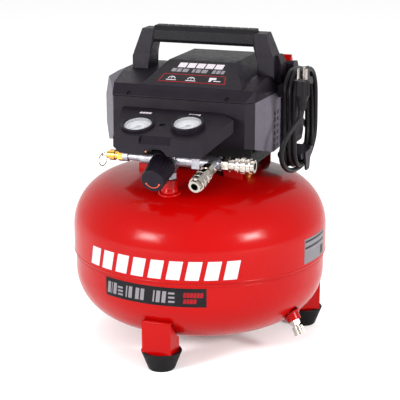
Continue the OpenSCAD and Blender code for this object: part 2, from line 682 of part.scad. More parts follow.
module cylinder_sleeve() color(alloy) translate([cyl_x, 0, 0]) {
    difference() {
        union() {
            translate([0, 0, 380]) cylinder(r = 28, h = head_z - 380);
            for (z = [384:5:404]) translate([0, 0, z]) cylinder(r = 30, h = 1.6);
        }
        translate([0, 0, 370]) cylinder(r = bore_r + 0.06, h = 60);
    }
}
module piston_rod() color(alloy) translate([cyl_x, 0, 0]) {
    translate([0, 0, 388]) cylinder(r = bore_r, h = 8);
    translate([-4, -6, crank_z + 26]) cube([8, 12, 391 - crank_z - 26]);
    crank_axis() difference() {
        along_x(-5, 5, 29.5);
        along_x(-6, 6, 24.5);
    }
}
module cylinder_head() color(alloy) difference() {
    union() {
        block([cyl_x - 29, -29, head_z], [cyl_x + 29, 29, head_z + 12]);
        for (y = [-27:6:27]) translate([cyl_x - 29, y - 1, head_z + 11]) cube([58, 2, 12]);
        block([cyl_x + 18, -29, head_z + 6], [cyl_x + 29, -11, head_z + 22]);
    }
    for (y = [-10, 10]) translate([cyl_x, y, head_z - 1]) cylinder(r = 4, h = 9);
    for (x = [-23, 23]) for (y = [-23, 23])
        translate([cyl_x + x, y, head_z - 1]) cylinder(r = 4.8, h = 40);
}
module head_bolts() color(nickel) for (x = [-23, 23]) for (y = [-23, 23])
    translate([cyl_x + x, y, 0]) {
        translate([0, 0, 380]) cylinder(r = 2.4, h = head_z + 5 - 380);
        translate([0, 0, head_z]) cylinder(r = 4.6, h = 5, $fn = 6);
    }

// ---------- power cord ----------
module cord_gland() color(black) translate([95, 119, 345]) rotate([-90, 0, 0]) cylinder(r = 7, h = 11);
module cord_ends() color(black) {
    sweep_tube(lead_path, cord_d, 10);
    sweep_tube(tail_path, cord_d, 10);
}
// A flattened ring of turns, hung over the two hooks.
module hank_outline(grow) hull() {
    translate([22, 396]) circle(r = 40 + grow, $fn = 40);
    translate([60, 380]) circle(r = 53 + grow, $fn = 40);
    translate([60, 334]) circle(r = 53 + grow, $fn = 40);
    translate([20, 318]) circle(r = 38 + grow, $fn = 40);
}
module cord_winding() color(black) extrude_x(137, 161) difference() {
    hank_outline(0);
    hank_outline(-9);
}
module power_plug() color(black) translate(plug_pos) {
    cylinder(r1 = 5, r2 = 7.5, h = 17);
    translate([0, 0, 16]) cylinder(r1 = 8, r2 = 11, h = 7);
    translate([0, 0, 23]) cylinder(r = 11, h = 19);
    translate([0, 0, 42]) cylinder(r = 12, h = 4);
    for (i = [0:15]) rotate([0, 0, i * 22.5]) translate([10.9, 0, 24]) cylinder(r = 0.9, h = 18, $fn = 12);
}
module plug_prongs() color(nickel) translate(plug_pos + [0, 0, 46]) {
    for (x = [-6.35, 6.35]) block([x - 0.75, -3.2, 0], [x + 0.75, 3.2, 17]);
    translate([0, 7.5, 0]) cylinder(r = 2.4, h = 19);
}

tank_upper_shell();
tank_lower_shell();
leg_brackets();
rubber_feet();
frame_bolts();
outlet_bung();
drain_bung();
drain_valve_body();
drain_valve_knob();
saddle_brackets();
pump_base_plate();
isolators();
check_valve_body();
check_valve_poppet();
outlet_tube();
manifold_bar();
regulator_body();
regulator_knob();
safety_valve_body();
safety_valve_stem();
safety_pull_ring();
tee_fitting();
coupler_body_front();
coupler_sleeve_front();
coupler_body_right();
coupler_sleeve_right();
gauge_case_left();
gauge_case_right();
gauge_dials();
gauge_needle_left();
gauge_needle_right();
gauge_lenses();
gauge_tubes();
front_console();
hood();
handle_grip();
left_shell();
right_shell();
end_cover();
cord_hooks();
shroud_screws();
switch_housing();
power_switch_lever();
motor_housing();
armature_shaft();
cooling_fan();
drive_pulley();
bearings();
drive_belt();
flywheel();
crankcase();
cylinder_sleeve();
piston_rod();
cylinder_head();
head_bolts();
cord_gland();
cord_ends();
cord_winding();
power_plug();
plug_prongs();
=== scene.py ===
import json
import math
import bpy
from mathutils import Matrix, Vector


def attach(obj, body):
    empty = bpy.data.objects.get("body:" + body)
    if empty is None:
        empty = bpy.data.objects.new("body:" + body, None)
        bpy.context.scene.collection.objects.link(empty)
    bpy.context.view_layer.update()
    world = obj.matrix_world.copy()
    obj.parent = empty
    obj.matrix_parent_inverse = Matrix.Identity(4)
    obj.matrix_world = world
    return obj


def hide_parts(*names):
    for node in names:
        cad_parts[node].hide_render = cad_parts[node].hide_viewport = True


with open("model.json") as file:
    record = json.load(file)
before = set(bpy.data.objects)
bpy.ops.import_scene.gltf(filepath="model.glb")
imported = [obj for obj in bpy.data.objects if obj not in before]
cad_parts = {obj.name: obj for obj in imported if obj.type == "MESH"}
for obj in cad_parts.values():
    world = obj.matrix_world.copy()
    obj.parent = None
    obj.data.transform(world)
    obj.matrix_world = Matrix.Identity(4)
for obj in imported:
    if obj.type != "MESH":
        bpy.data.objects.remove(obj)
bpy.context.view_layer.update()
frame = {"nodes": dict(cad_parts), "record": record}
NODES = frame["nodes"]
MM = 0.001


# ---------- camera and stage ----------
CAMERA_AZIMUTH = math.radians(19.6)
CAMERA_ELEVATION = math.radians(15.4)
CAMERA_DISTANCE = 2.08
CAMERA_AIM = Vector((0, 0, 0.2184))
CAMERA_LENS = 117.6
LIGHT_AIM = (0, -0.15, 0.21)
SOFT_BOXES = {"left": (-1.0, -1.99, 0.94), "right": (2.05, -0.90, 0.98)}
BOX_SIZE, BOX_POWER = (1.0, 0.72), 22
CORE_SIZE, CORE_POWER = (0.52, 0.34), 50


def make_camera():
    back = Vector((
        math.sin(CAMERA_AZIMUTH) * math.cos(CAMERA_ELEVATION),
        -math.cos(CAMERA_AZIMUTH) * math.cos(CAMERA_ELEVATION),
        math.sin(CAMERA_ELEVATION),
    ))
    data = bpy.data.cameras.new("camera")
    data.lens = CAMERA_LENS
    camera = bpy.data.objects.new("camera", data)
    bpy.context.collection.objects.link(camera)
    camera.location = CAMERA_AIM + back * CAMERA_DISTANCE
    camera.rotation_mode = "QUATERNION"
    camera.rotation_quaternion = (-back).to_track_quat("-Z", "Y")
    bpy.context.scene.camera = camera


def area_light(name, place, aim, size, power):
    data = bpy.data.lights.new(name, "AREA")
    data.shape = "RECTANGLE"
    data.size, data.size_y = size
    data.energy = power
    light = bpy.data.objects.new(name, data)
    bpy.context.collection.objects.link(light)
    light.location = place
    light.rotation_mode = "QUATERNION"
    light.rotation_quaternion = (Vector(aim) - Vector(place)).to_track_quat("-Z", "Y")


def make_lights():
    world = bpy.data.worlds.new("studio")
    world.use_nodes = True
    background = world.node_tree.nodes["Background"].inputs
    background["Color"].default_value = (1.0, 1.0, 1.0, 1)
    background["Strength"].default_value = 1.0
    scene = bpy.context.scene
    scene.world = world
    scene.view_settings.view_transform = "Standard"
    for side, place in SOFT_BOXES.items():
        area_light(f"soft_box_{side}", place, LIGHT_AIM, BOX_SIZE, BOX_POWER)
        area_light(f"soft_box_core_{side}", place, LIGHT_AIM, CORE_SIZE, CORE_POWER)
    area_light("top", (-0.6, 0.2, 2.2), (0, 0, 0.3), (1.6, 1.0), 8)


# ---------- materials ----------
NOISE_LOW, NOISE_HIGH = 0.3, 0.7


class Surface:
    """A Principled material with helpers for noise, colour variation, roughness and bump."""

    def __init__(self, name, colour, rough, metal=0.0):
        self.material = bpy.data.materials.new(name)
        self.material.use_nodes = True
        self.tree = self.material.node_tree
        self.shader = self.tree.nodes["Principled BSDF"]
        self.place = self.tree.nodes.new("ShaderNodeTexCoord").outputs["Object"]
        self.colour = (*colour, 1)
        self.set("Base Color", self.colour)
        self.set("Roughness", rough)
        self.set("Metallic", metal)
        self.material.diffuse_color = self.colour
        self.last_bump = None

    def set(self, socket, value):
        self.shader.inputs[socket].default_value = value
        return self

    def link(self, source, target):
        self.tree.links.new(source, target)

    def noise(self, scale, detail=2.0):
        node = self.tree.nodes.new("ShaderNodeTexNoise")
        node.inputs["Scale"].default_value = scale
        node.inputs["Detail"].default_value = detail
        self.link(self.place, node.inputs["Vector"])
        return node.outputs["Fac"]

    def cells(self, scale):
        node = self.tree.nodes.new("ShaderNodeTexVoronoi")
        node.inputs["Scale"].default_value = scale
        self.link(self.place, node.inputs["Vector"])
        return node.outputs["Distance"]

    def spread(self, value, low, high):
        """Stretches the middle of a noise's range to run from low to high."""
        node = self.tree.nodes.new("ShaderNodeMapRange")
        node.inputs["From Min"].default_value = NOISE_LOW
        node.inputs["From Max"].default_value = NOISE_HIGH
        node.inputs["To Min"].default_value = low
        node.inputs["To Max"].default_value = high
        self.link(value, node.inputs["Value"])
        return node.outputs["Result"]

    def tint(self, value, other):
        """Mixes the base colour towards another where value is high."""
        node = self.tree.nodes.new("ShaderNodeMix")
        node.data_type = "RGBA"
        node.inputs["A"].default_value = self.colour
        node.inputs["B"].default_value = (*other, 1)
        self.link(self.spread(value, 0.0, 1.0), node.inputs["Factor"])
        self.link(node.outputs["Result"], self.shader.inputs["Base Color"])
        return self

    def rough(self, value, low, high):
        self.link(self.spread(value, low, high), self.shader.inputs["Roughness"])
        return self

    def bump(self, value, depth, strength):
        node = self.tree.nodes.new("ShaderNodeBump")
        node.inputs["Distance"].default_value = depth
        node.inputs["Strength"].default_value = strength
        self.link(value, node.inputs["Height"])
        if self.last_bump:
            self.link(self.last_bump, node.inputs["Normal"])
        self.last_bump = node.outputs["Normal"]
        self.link(self.last_bump, self.shader.inputs["Normal"])
        return self


def red_paint():
    s = Surface("tank_red_paint", RED, 0.42)
    s.set("Specular IOR Level", 0.02).set("Coat Weight", 0.65).set("Coat Roughness", 0.13)
    s.set("Coat IOR", 1.25)
    s.tint(s.noise(7), tuple(c * 0.93 for c in RED))
    s.rough(s.noise(45), 0.36, 0.46)
    s.bump(s.noise(160, 1), 0.00002, 0.25)
    return s.material


def moulded_plastic(name, colour, lighter, rough=0.42):
    s = Surface(name, colour, rough)
    s.set("Specular IOR Level", 0.10)
    s.tint(s.noise(55, 4), lighter)
    s.rough(s.noise(140, 3), rough - 0.05, rough + 0.07)
    s.bump(s.cells(1500), 0.00008, 0.45)
    s.bump(s.noise(900, 3), 0.00005, 0.4)
    return s.material


def soft_rubber(name, colour, rough=0.6):
    s = Surface(name, colour, rough)
    s.set("Specular IOR Level", 0.11)
    s.tint(s.noise(70, 5), tuple(c * 1.5 for c in colour))
    s.rough(s.noise(200, 3), rough - 0.08, rough + 0.08)
    s.bump(s.noise(1400, 4), 0.0001, 0.5)
    return s.material


def plated(name, colour, rough):
    s = Surface(name, colour, rough, 1.0)
    s.tint(s.noise(90, 4), tuple(c * 0.8 for c in colour))
    s.rough(s.noise(260, 4), rough - 0.06, rough + 0.1)
    s.bump(s.noise(700, 2), 0.00004, 0.3)
    return s.material


def cast_metal(name, colour, rough=0.42):
    s = Surface(name, colour, rough, 1.0)
    s.tint(s.noise(120, 5), tuple(c * 0.7 for c in colour))
    s.rough(s.noise(300, 4), rough - 0.08, rough + 0.14)
    s.bump(s.noise(650, 5), 0.00015, 0.5)
    return s.material


def printed(name, colour, rough=0.35):
    s = Surface(name, colour, rough)
    s.set("Specular IOR Level", 0.08)
    s.tint(s.noise(40, 3), tuple(min(1.0, c * 1.07 + 0.003) for c in colour))
    s.rough(s.noise(180, 3), rough - 0.05, rough + 0.06)
    s.bump(s.noise(1200, 2), 0.00002, 0.3)
    return s.material


def clear_window():
    s = Surface("clear_window", (0.95, 0.97, 1.0), 0.03)
    s.set("Alpha", 0.14)
    s.bump(s.noise(30, 1), 0.00002, 0.3)
    return s.material


RED = (0.245, 0.0004, 0.0003)
BLACK = (0.0050, 0.0033, 0.0062)
DEEP = (0.0025, 0.0020, 0.0028)
GREY = (0.066, 0.058, 0.073)
MATERIALS = {
    "tank_paint": red_paint(),
    "foot_rubber": soft_rubber("foot_rubber", (0.0025, 0.0021, 0.0025)),
    "zinc_steel": plated("zinc_steel", (0.42, 0.42, 0.43), 0.34),
    "nickel_plate": plated("nickel_plate", (0.40, 0.365, 0.33), 0.17),
    "black_steel": moulded_plastic("black_steel", DEEP, (0.006, 0.006, 0.006), 0.5),
    "brass": plated("brass", (0.56, 0.32, 0.07), 0.22),
    "copper_tube": plated("copper_tube", (0.60, 0.30, 0.18), 0.3),
    "cast_alloy": cast_metal("cast_alloy", (0.29, 0.28, 0.31)),
    "black_plastic": moulded_plastic("black_plastic", BLACK, (0.0066, 0.0047, 0.0080)),
    "grip_rubber": soft_rubber("grip_rubber", (0.0036, 0.0031, 0.004), 0.5),
    "grey_plastic": moulded_plastic("grey_plastic", GREY, (0.076, 0.067, 0.083)),
    "dial_white": printed("dial_white", (0.25, 0.24, 0.275), 0.4),
    "clear_lens": clear_window(),
    "switch_red": moulded_plastic("switch_red", (0.30, 0.0025, 0.002), (0.33, 0.004, 0.003), 0.34),
    "cord_jacket": soft_rubber("cord_jacket", (0.0036, 0.003, 0.0036), 0.42),
}
PRINT_WHITE = printed("print_white", (0.36, 0.33, 0.355))
PRINT_PALE = printed("print_pale", (0.13, 0.12, 0.13))
PRINT_GREY = printed("print_grey", (0.10, 0.095, 0.105))
PRINT_DARK = printed("print_dark", (0.0045, 0.004, 0.005))
PRINT_RED = printed("print_red", (0.17, 0.003, 0.006))
PRINT_SALMON = printed("print_salmon", (0.34, 0.05, 0.03))


def paint_nodes():
    for row in frame["record"]["subparts"]:
        node = NODES[row["node"]]
        node.data.materials.clear()
        node.data.materials.append(MATERIALS[row["material_slot"]])


# Width in millimetres and number of segments of each moulded or folded node's rounded edges.
SOFT_EDGES = {
    "hood": (1.6, 3), "front_console": (1.3, 2), "left_shell": (1.3, 2), "right_shell": (1.3, 2),
    "handle_grip": (1.5, 3), "switch_housing": (1.0, 2), "power_switch_lever": (0.8, 2),
    "leg_brackets": (0.8, 2), "saddle_brackets": (0.6, 2), "cord_hooks": (1.0, 2),
}
WELD_REACH = 0.02 * MM
FLAT_ANGLE, EDGE_ANGLE = math.radians(0.6), math.radians(35)


def soften_edges():
    """Rounds the CAD nodes' edges with modifiers, which leave their own meshes as they are."""
    for name, (width, segments) in SOFT_EDGES.items():
        node = NODES[name]
        weld = node.modifiers.new("weld", "WELD")
        weld.merge_threshold = WELD_REACH
        planar = node.modifiers.new("planar", "DECIMATE")
        planar.decimate_type = "DISSOLVE"
        planar.angle_limit = FLAT_ANGLE
        bevel = node.modifiers.new("bevel", "BEVEL")
        bevel.width = width * MM
        bevel.segments = segments
        bevel.limit_method = "ANGLE"
        bevel.angle_limit = EDGE_ANGLE
        bevel.use_clamp_overlap = True
        bevel.harden_normals = False


# ---------- shared mesh helpers ----------
def new_piece(name, mesh, material, body="frame"):
    piece = bpy.data.objects.new(name, mesh)
    bpy.context.collection.objects.link(piece)
    piece.data.materials.append(material)
    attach(piece, body)
    return piece


def mesh_of(name, corners, faces, smooth=False):
    mesh = bpy.data.meshes.new(name)
    mesh.from_pydata([tuple(c) for c in corners], [], faces)
    mesh.polygons.foreach_set("use_smooth", [smooth] * len(mesh.polygons))
    mesh.update()
    return mesh


def loft(rings, closed=False):
    """Corners and faces of a skin over equal rings, with caps where the rings don't close."""
    size, count = len(rings[0]), len(rings)
    corners = [c for r in rings for c in r]
    faces = []
    for i in range(count if closed else count - 1):
        a, b = i * size, ((i + 1) % count) * size
        faces += [(a + j, a + (j + 1) % size, b + (j + 1) % size, b + j) for j in range(size)]
    if not closed:
        faces.append(tuple(reversed(range(size))))
        faces.append(tuple(range((count - 1) * size, count * size)))
    return corners, faces


class Build:
    """Collects closed solids in one mesh."""

    def __init__(self):
        self.corners, self.faces = [], []

    def add(self, corners, faces):
        base = len(self.corners)
        self.corners += corners
        self.faces += [tuple(i + base for i in f) for f in faces]
        return self

    def piece(self, name, material, body="frame", smooth=False):
        return new_piece(name, mesh_of(name, self.corners, self.faces, smooth), material, body)


def slab(outline, place, low, high):
    """A thin solid over a flat outline: place(u, v, lift) gives each corner."""
    return loft([[place(u, v, low) for u, v in outline], [place(u, v, high) for u, v in outline]])


def bar(u0, v0, u1, v1, lean=0.0):
    """A four-cornered outline whose top is shifted by lean."""
    return [(u0, v0), (u1, v0), (u1 + lean, v1), (u0 + lean, v1)]


def arc_band(r0, r1, start, stop, steps):
    """A flat arc between two radii, from start to stop in degrees."""
    angles = [math.radians(start + (stop - start) * k / steps) for k in range(steps + 1)]
    inner = [(r0 * math.cos(a), r0 * math.sin(a)) for a in angles]
    outer = [(r1 * math.cos(a), r1 * math.sin(a)) for a in reversed(angles)]
    return inner + outer


def disc(u, v, r, sides):
    return [(u + r * math.cos(2 * math.pi * k / sides), v + r * math.sin(2 * math.pi * k / sides))
            for k in range(sides)]


def ring_tube(place, radius, wire, steps=48, sides=10):
    """A closed round wire: place(u, v, w) puts the ring's own axes in the frame."""
    rings = []
    for i in range(steps):
        a = 2 * math.pi * i / steps
        ring = []
        for j in range(sides):
            b = 2 * math.pi * j / sides
            r = radius + wire * math.cos(b)
            ring.append(place(r * math.cos(a), r * math.sin(a), wire * math.sin(b)))
        rings.append(ring)
    return loft(rings, closed=True)


def upright(x, y, z, lean=0.0, azimuth=0.0):
    """Own axes of a ring or cylinder at a point, leaning from +Z towards an azimuth."""
    turn = Matrix.Rotation(azimuth, 3, "Z") @ Matrix.Rotation(lean, 3, "Y")

    def place(u, v, w):
        return Vector((x, y, z)) * MM + turn @ (Vector((u, v, w)) * MM)
    return place


# ---------- places on the part, in millimetres ----------
TANK_R, TANK_FLANK, KNUCKLE_R = 200.5, (117, 185), 80
LOWER_R = 197.9
SEAM_Z = 147
MANIFOLD_Y, MANIFOLD_Z = -140, 317
PANEL_TILT, PANEL_Y, PANEL_Z = math.radians(16), -100, 382
# X and Y of the left and right gauge, and how far each stands out of the panel.
GAUGES = ((-43, -151, 4), (33, -145, 8))
HOOD_SLOPE, HOOD_FOOT = math.atan2(29.5, 59), (-85, 416.5)
OUTLET_Y = -134
CHECK_VALVE_X, CHECK_VALVE_Y = 80, -5
DRAIN_ANGLE, DRAIN_SPOT, DRAIN_LEAN = math.radians(-20), math.radians(38), math.radians(150)
DRAIN_REACH = TANK_R - KNUCKLE_R + KNUCKLE_R * math.cos(DRAIN_SPOT)
DRAIN_Z = TANK_FLANK[0] - KNUCKLE_R * math.sin(DRAIN_SPOT)
DRAIN_AT = (DRAIN_REACH * math.cos(DRAIN_ANGLE), DRAIN_REACH * math.sin(DRAIN_ANGLE), DRAIN_Z)
LEG_ANGLES = (-90, 30, 150)
KNOB_X, KNOB_TILT, KNOB_FACE = -3, math.radians(20), 60


def tank_radius(z):
    outer = TANK_R if z >= SEAM_Z else LOWER_R
    knuckle = KNUCKLE_R - (TANK_R - outer)
    past = max(TANK_FLANK[0] - z, z - TANK_FLANK[1], 0)
    return outer - knuckle + math.sqrt(knuckle ** 2 - past ** 2)


def on_tank(middle, reach=TANK_R):
    """Places arc length u and height v on the tank's wall, round the azimuth of middle."""
    def place(u, v, lift):
        a = math.radians(middle) + u / reach
        r = (tank_radius(v) + lift) * MM
        return (r * math.cos(a), r * math.sin(a), v * MM)
    return place


def on_hood(u, v, lift):
    """Places X and distance up the label slope of the hood."""
    y = HOOD_FOOT[0] + v * math.cos(HOOD_SLOPE) - lift * math.sin(HOOD_SLOPE)
    z = HOOD_FOOT[1] + v * math.sin(HOOD_SLOPE) + lift * math.cos(HOOD_SLOPE)
    return (u * MM, y * MM, z * MM)


def on_panel(x, y, base=0.0):
    """Places local points on the gauge panel's slope, round the point above X and Y."""
    top = PANEL_Z + (y - PANEL_Y) * math.tan(PANEL_TILT)

    def place(u, v, lift):
        w = base + lift
        return ((x + u) * MM, (y + v * math.cos(PANEL_TILT) - w * math.sin(PANEL_TILT)) * MM,
                (top + v * math.sin(PANEL_TILT) + w * math.cos(PANEL_TILT)) * MM)
    return place


def on_knob(u, v, lift):
    """Places points on the regulator knob's front face."""
    out = KNOB_FACE + lift
    y = MANIFOLD_Y - v * math.sin(KNOB_TILT) - out * math.cos(KNOB_TILT)
    z = MANIFOLD_Z + v * math.cos(KNOB_TILT) - out * math.sin(KNOB_TILT)
    return ((KNOB_X + u) * MM, y * MM, z * MM)


# ---------- tank shells ----------
WALL, LAP = 2.5, 14
KNUCKLE_AT = TANK_R - KNUCKLE_R
CROWN_GAP = 640
DOME_STEPS, BEND_STEPS, TURN_STEPS = 14, 30, 240
# Share of the dome's first step between the axis and the sheet's first ring.
AXIS_GAP = 0.4
HOLE_SIDES = 70


def half_profile(reach):
    """Radius and height over the tank's upper half, from its axis to its side wall of radius reach."""
    knuckle = reach - KNUCKLE_AT
    crown = knuckle + CROWN_GAP
    meet = math.asin(KNUCKLE_AT / CROWN_GAP)
    base = TANK_FLANK[1] - CROWN_GAP * math.cos(meet)
    dome = [meet * (k + AXIS_GAP) / DOME_STEPS for k in range(DOME_STEPS)]
    bend = [meet + (math.pi / 2 - meet) * k / BEND_STEPS for k in range(BEND_STEPS + 1)]
    points = [(crown * math.sin(t), base + crown * math.cos(t)) for t in dome]
    for t in bend:
        points.append((KNUCKLE_AT + knuckle * math.sin(t), TANK_FLANK[1] + knuckle * math.cos(t)))
    return points


def turned(profile):
    """A closed sheet turned round the Z axis from a profile that starts and ends near the axis."""
    turns = [2 * math.pi * j / TURN_STEPS for j in range(TURN_STEPS)]
    return loft([[(r * math.cos(a) * MM, r * math.sin(a) * MM, z * MM) for a in turns]
                 for r, z in profile])


def rim(inner, outer, edge, back):
    """The rounded rim that joins two skins at height edge; back is +1 where the sheet lies above it."""
    return [(inner, edge + back), (inner, edge + 0.5 * back), (inner + 0.5, edge), (outer - 0.5, edge),
            (outer, edge + 0.5 * back), (outer, edge + back)]


def bore(spot, r, half, lean=0.0, azimuth=0.0):
    """A closed cylinder of radius r about spot, with an axis that leans from +Z towards an azimuth."""
    place = upright(*spot, lean, azimuth)
    return loft([[place(u, v, w) for u, v in disc(0, 0, r, HOLE_SIDES)] for w in (-half, half)])


def bored(mesh, *bores):
    """The mesh with round holes cut through it."""
    sheet = bpy.data.objects.new("sheet", mesh)
    bpy.context.collection.objects.link(sheet)
    cutters = []
    for k, (corners, faces) in enumerate(bores):
        cutter = bpy.data.objects.new(f"cutter_{k}", mesh_of(f"cutter_{k}", corners, faces))
        bpy.context.collection.objects.link(cutter)
        cut = sheet.modifiers.new(f"cut_{k}", "BOOLEAN")
        cut.operation, cut.solver, cut.object = "DIFFERENCE", "EXACT", cutter
        cutters.append(cutter)
    bpy.context.view_layer.update()
    result = bpy.data.meshes.new_from_object(sheet.evaluated_get(bpy.context.evaluated_depsgraph_get()))
    for spare in [sheet] + cutters:
        bpy.data.objects.remove(spare)
    return result


def tank_shells():
    inner = half_profile(TANK_R - WALL)
    outer = half_profile(TANK_R)
    upper = inner + rim(TANK_R - WALL, TANK_R, SEAM_Z, 1) + outer[::-1]
    floor_up = sum(TANK_FLANK)
    inner = [(r, floor_up - z) for r, z in half_profile(LOWER_R - WALL)]
    outer = [(r, floor_up - z) for r, z in half_profile(LOWER_R)]
    lower = outer + rim(LOWER_R - WALL, LOWER_R, SEAM_Z + LAP, -1)[::-1] + inner[::-1]
    top_holes = [bore((0, OUTLET_Y, 245), 13.1, 45), bore((CHECK_VALVE_X, CHECK_VALVE_Y, 245), 11.1, 45)]
    drain_hole = bore(DRAIN_AT, 11.1, 20, DRAIN_LEAN, DRAIN_ANGLE)
    for name, profile, node, holes in (("tank_upper_skin", upper, "tank_upper_shell", top_holes),
                                       ("tank_lower_skin", lower, "tank_lower_shell", [drain_hole])):
        sheet = bored(mesh_of(name, *turned(profile), smooth=True), *holes)
        skin = new_piece(name, sheet, MATERIALS["tank_paint"])
        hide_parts(node)


# ---------- printed marks ----------
# Azimuths, in degrees, of the middles of the tank's printed marks.
BARS_AT, STRIP_AT, RATING_AT = -89.3, -91.8, -8.2
# How deep plates and flat marks start under a surface, and how far they stand out of it.
PLATE_SINK, MARK_SINK = -0.8, -0.2
PLATE_LIFT, MARK_LIFT, HOOD_LIFT, FRAME_LIFT, DIAL_LIFT = 0.2, 0.4, 0.3, 0.28, 0.12


def tank_prints():
    tank_bars()
    tank_strip()
    rating_plate()


def tank_bars():
    white = Build()
    place = on_tank(BARS_AT)
    count, width, pitch, lean = 9, 20.5, 28.4, 6
    for k in range(count):
        u = (k - (count - 1) / 2) * pitch - (width + lean) / 2
        white.add(*plate_grid(u, 151.5, u + width, 180, place, 0.25, lean))
    white.piece("tank_white_bars", PRINT_WHITE)


def tank_strip():
    place = on_tank(STRIP_AT, LOWER_R)
    plate = plate_grid(-83.5, 109, 83.5, 138, place, PLATE_LIFT)
    Build().add(*plate).piece("tank_dark_plate", PRINT_DARK)
    pale = Build()
    marks = [(-79, 6), (-71, 1.5), (-67, 6), (-43, 2.2), (-38, 6), (-26, 6), (-17.5, 6),
             (3, 2.2), (8, 6), (17, 6)]
    for u, wide in marks:
        pale.add(*plate_grid(u - 1, 114, u + wide - 1, 132, place, MARK_LIFT, 2))
    lines = ((-58.5, 125.5), (-58.5, 120), (-58.5, 114.5), (26.5, 128), (26.5, 121.5), (26.5, 115))
    for u, low in lines:
        pale.add(*plate_grid(u, low, u + 9.5, low + 3, place, MARK_LIFT, 0.4))
    pale.piece("tank_pale_bars", PRINT_PALE)
    red = Build()
    for v0, v1, wide in ((124, 131.5, 29), (114.5, 121.5, 19)):
        for k in range(round(wide / 5)):
            red.add(*slab(bar(49 + 5 * k, v0, 53.2 + 5 * k, v1, 0.8), place, MARK_SINK, MARK_LIFT))
    red.piece("tank_red_bars", PRINT_RED)


def rating_plate():
    place = on_tank(RATING_AT)
    plate = plate_grid(-36, 151, 36, 190, place, PLATE_LIFT)
    Build().add(*plate).piece("rating_plate", PRINT_GREY)
    dark, pale = Build(), Build()
    for build, v in ((dark, 186), (pale, 181.5), (dark, 176), (pale, 171.5)):
        build.add(*plate_grid(-34, v - 1.6, 34, v + 1.0, place, MARK_LIFT))
    for k in range(5):
        pale.add(*plate_grid(-33, 154 + 3 * k, 14 - 4 * (k % 3), 155.1 + 3 * k, place, MARK_LIFT))
    dark.add(*plate_grid(20, 153, 33, 167, place, MARK_LIFT))
    dark.piece("rating_plate_dark_bars", PRINT_DARK)
    pale.piece("rating_plate_pale_bars", PRINT_PALE)


def plate_grid(u0, v0, u1, v1, place, lift, lean=0.0, step=4.0):
    """A plate that follows a curved wall, as one closed solid whose top edge is shifted by lean."""
    across, up = max(1, round((u1 - u0) / step)), max(1, round((v1 - v0) / step))
    corners, faces = [], []
    for layer in (PLATE_SINK, lift):
        for j in range(up + 1):
            for i in range(across + 1):
                u = u0 + (u1 - u0) * i / across + lean * j / up
                corners.append(place(u, v0 + (v1 - v0) * j / up, layer))
    row, level = across + 1, (across + 1) * (up + 1)
    for j in range(up):
        for i in range(across):
            a = j * row + i
            faces.append((a, a + row, a + row + 1, a + 1))
            faces.append((level + a, level + a + 1, level + a + row + 1, level + a + row))
    border = list(range(across)) + [across + row * j for j in range(up)]
    border += [row * up + i for i in range(across, 0, -1)] + [row * j for j in range(up, 0, -1)]
    for a, b in zip(border, border[1:] + border[:1]):
        faces.append((a, b, level + b, level + a))
    return corners, faces


def hood_prints():
    plate = [(-54, 12), (73, 10), (55, 66), (-36, 66)]
    Build().add(*slab(plate, on_hood, -0.5, 0.15)).piece("hood_label", PRINT_DARK)
    white, pale, red = Build(), Build(), Build()
    for k in range(5):
        u = -21 + 14.7 * k
        white.add(*slab(bar(u, 47, u + 12.6, 59, 1.5), on_hood, MARK_SINK, HOOD_LIFT))
    dashes = ((-28, 7), (-19.5, 7), (-10.5, 9), (5, 4), (11, 7), (20, 9), (37, 5), (43.5, 6), (51, 5))
    for u, wide in dashes:
        pale.add(*slab(bar(u, 35.5, u + wide, 44, 1), on_hood, MARK_SINK, HOOD_LIFT))
    box = [(-41, 10), (66, 10), (62, 30), (-36, 30)]
    for a, b in zip(box, box[1:] + box[:1]):
        along = (Vector(b) - Vector(a)).normalized()
        side = Vector((-along.y, along.x)) * 1.3
        corners = [Vector(a), Vector(b), Vector(b) + side, Vector(a) + side]
        red.add(*slab([tuple(c) for c in corners], on_hood, MARK_SINK, FRAME_LIFT))
    for u in (-21, 10):
        white.add(*slab(arc_band(4.6, 6.0, 0, 180, 10), shifted(on_hood, u, 18), MARK_SINK, HOOD_LIFT))
        white.add(*slab(bar(u - 1.4, 18, u - 0.2, 22.5, 2.4), on_hood, MARK_SINK, HOOD_LIFT))
        white.add(*slab(bar(u - 8, 14, u + 8, 15.6), on_hood, MARK_SINK, HOOD_LIFT))
    white.add(*slab(bar(38, 20, 49, 25), on_hood, MARK_SINK, HOOD_LIFT))
    white.add(*slab(bar(38, 15, 42, 20, 1), on_hood, MARK_SINK, HOOD_LIFT))
    white.add(*slab(bar(46, 16, 57, 17.8), on_hood, MARK_SINK, HOOD_LIFT))
    white.piece("hood_white_marks", PRINT_WHITE)
    pale.piece("hood_pale_marks", PRINT_PALE)
    red.piece("hood_red_frame", PRINT_RED)


def shifted(place, du, dv):
    return lambda u, v, lift: place(u + du, v + dv, lift)


